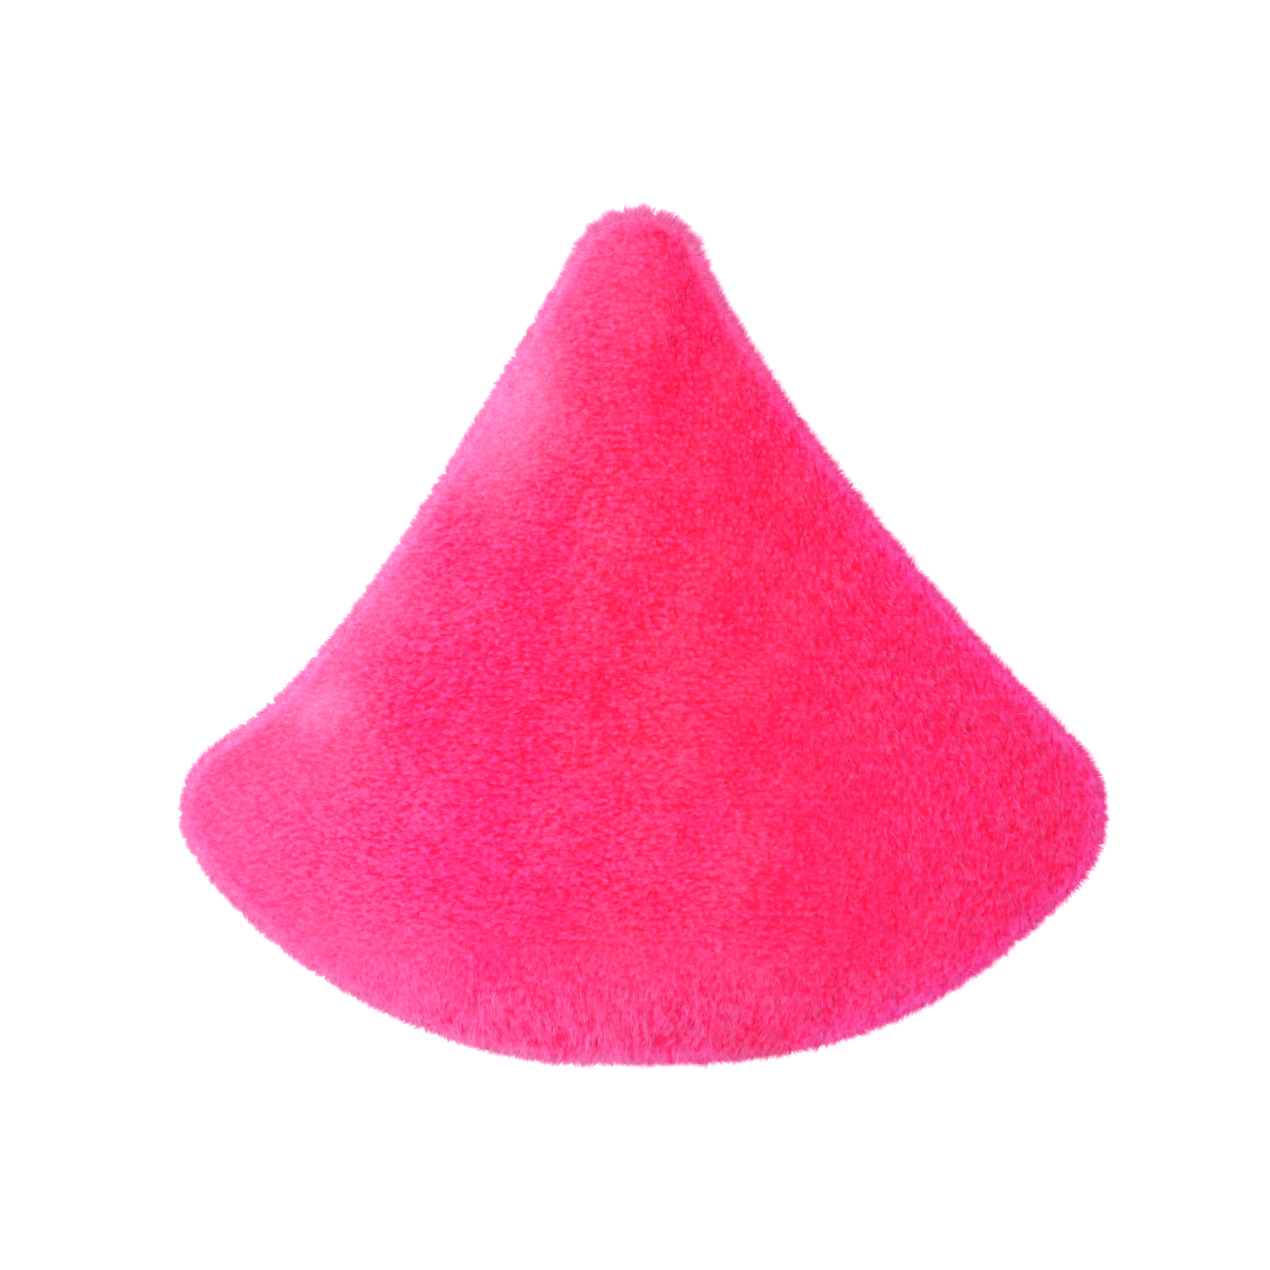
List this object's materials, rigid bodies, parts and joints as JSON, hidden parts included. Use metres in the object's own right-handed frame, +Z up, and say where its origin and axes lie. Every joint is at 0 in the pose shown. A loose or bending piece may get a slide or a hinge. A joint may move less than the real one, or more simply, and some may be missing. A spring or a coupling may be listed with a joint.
{
  "type": "powder puff",
  "caption": "Rounded triangular velour powder puff, gently domed, with a satin finger strap across its back.",
  "frame": {"origin": "on the table, under the middle of the puff's bounding box", "axes": "+X across the puff to its right corner, +Y from the curved hem to the apex, +Z up out of the front face"},
  "size_m": [0.08, 0.0737, 0.0159],
  "materials": {
    "velour": "hot-pink short-pile velour, soft sheen, deeper red between the tufts",
    "foam": "off-white soft open-cell foam",
    "satin_ribbon": "pink satin ribbon with a fine woven edge",
    "thread": "pink polyester sewing thread"
  },
  "bodies": {
    "root": {"front_panel": "velour", "rear_panel": "velour", "foam_core": "foam", "finger_strap": "satin_ribbon", "seam_thread": "thread", "closing_stitches": "thread", "strap_tack_left": "thread", "strap_tack_right": "thread"}
  },
  "joints": []
}
